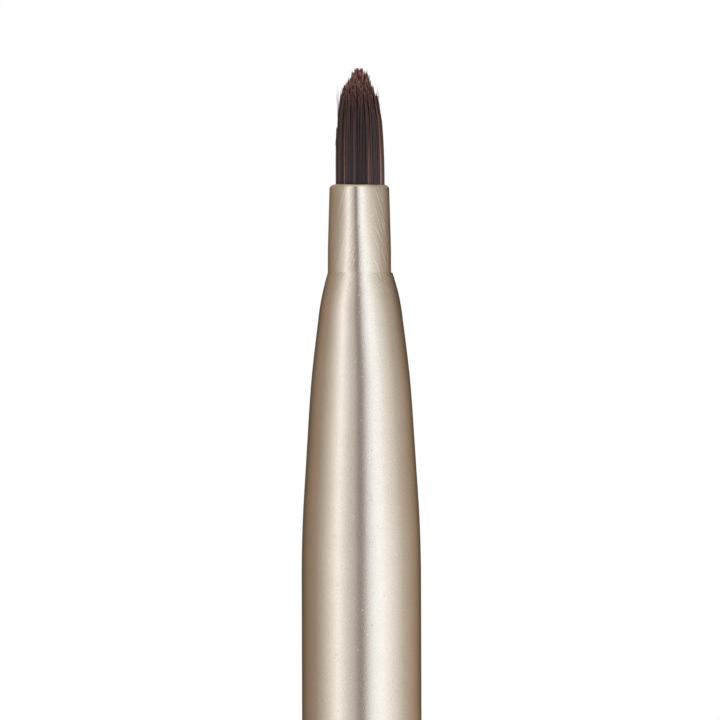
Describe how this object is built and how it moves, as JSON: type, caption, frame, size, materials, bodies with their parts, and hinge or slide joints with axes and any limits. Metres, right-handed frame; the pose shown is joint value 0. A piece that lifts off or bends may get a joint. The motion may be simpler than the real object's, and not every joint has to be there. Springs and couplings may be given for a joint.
{
  "type": "fine detail brush",
  "caption": "Slim upright brush: bullet-shaped tuft of dark synthetic filaments in a long swaged satin metal ferrule on a tube-clad handle with a flat end.",
  "frame": {"origin": "centre of the flat butt end, on the surface that the brush stands on", "axes": "+Z along the brush towards the tip of the tuft; +Y away from the viewer; the brush is round about Z"},
  "size_m": [0.01, 0.01, 0.15],
  "materials": {
    "dark_filament": "semi-gloss dark brown-grey filaments with copper-brown strands",
    "binding_thread": "waxed nylon thread",
    "cured_resin": "cured amber resin",
    "satin_champagne_metal": "satin champagne anodised, fine even grain, slanting polishing scratches round the neck",
    "turned_champagne_metal": "satin champagne anodised, fine turning marks",
    "adhesive": "cured adhesive film",
    "core_wood": "bare turned hardwood"
  },
  "bodies": {
    "handle": {"bristle_root": "dark_filament", "root_binding": "binding_thread", "resin_plug": "cured_resin", "ferrule": "satin_champagne_metal", "ferrule_bond": "adhesive", "handle_core": "core_wood", "barrel_bond": "adhesive", "handle_barrel": "satin_champagne_metal", "end_cap": "turned_champagne_metal"},
    "tuft": {"bristle_tuft": "dark_filament"}
  },
  "joints": [
    {"name": "tuft_flex", "type": "hinge", "parent": "handle", "child": "tuft", "pos_m": [0, 0, 0.14115], "axis": [0, 1, 0], "range_deg": [-25, 25], "stiffness_Nm_per_rad": 0.002}
  ]
}
